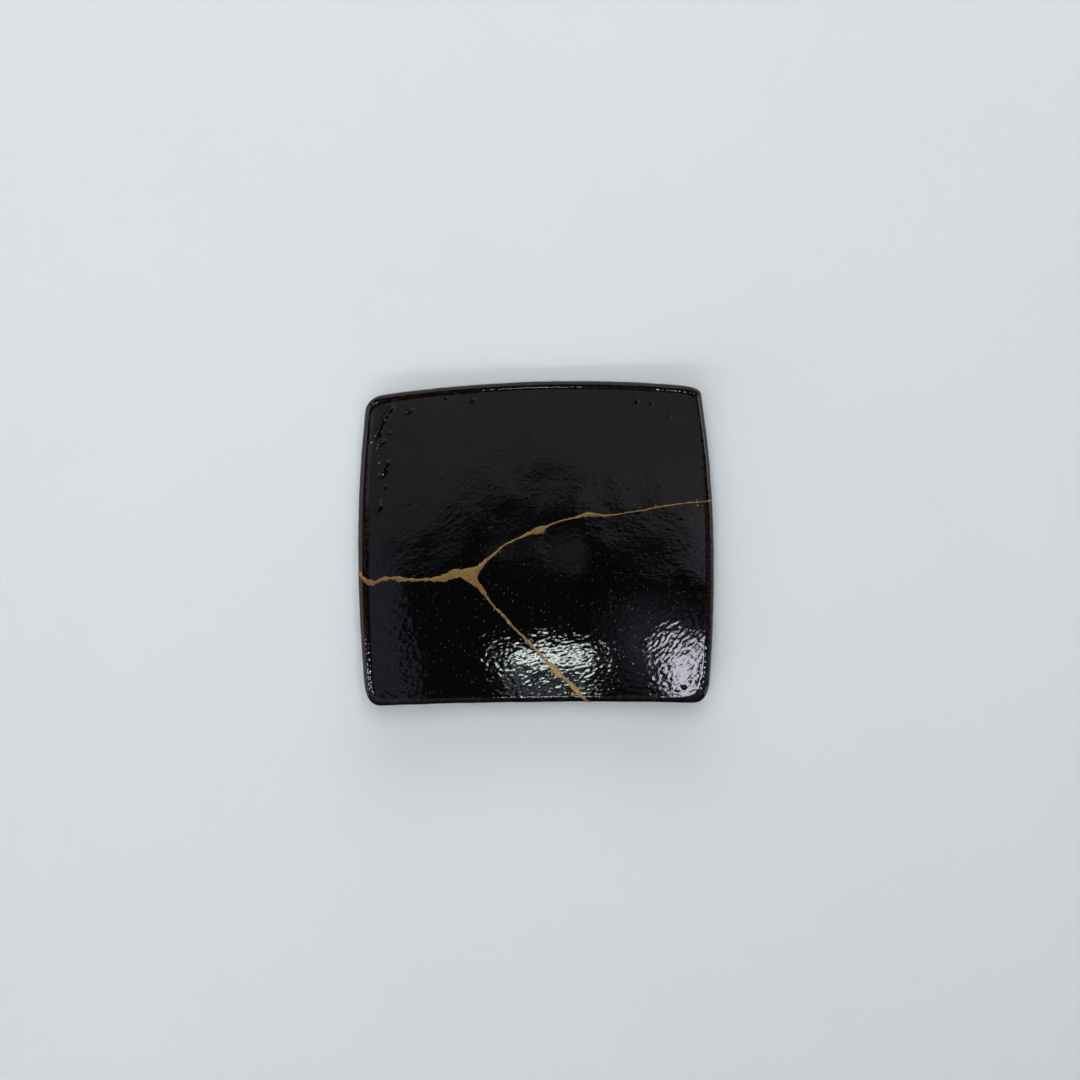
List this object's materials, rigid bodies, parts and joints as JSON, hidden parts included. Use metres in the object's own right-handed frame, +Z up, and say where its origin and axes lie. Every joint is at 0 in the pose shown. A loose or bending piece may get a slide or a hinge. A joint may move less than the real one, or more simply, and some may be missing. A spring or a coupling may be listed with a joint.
{
  "type": "kintsugi plate",
  "caption": "Small square black-glazed stoneware dish with upturned sides, broken into shards and mended with a branching gold lacquer seam; holds small things or is set out as an ornament.",
  "frame": {"origin": "on the surface the plate lies on, under the middle of its plan", "axes": "+Z up out of the dish, +X along the far and near sides to the right, +Y towards the far side, the picture's upper side"},
  "size_m": [0.1108, 0.1088, 0.018],
  "materials": {
    "black_glaze": "gloss",
    "gold_lacquer": "satin"
  },
  "bodies": {
    "root": {"shard_upper": "black_glaze", "shard_lower_left": "black_glaze", "shard_lower_right": "black_glaze", "gold_seam": "gold_lacquer"}
  },
  "joints": []
}
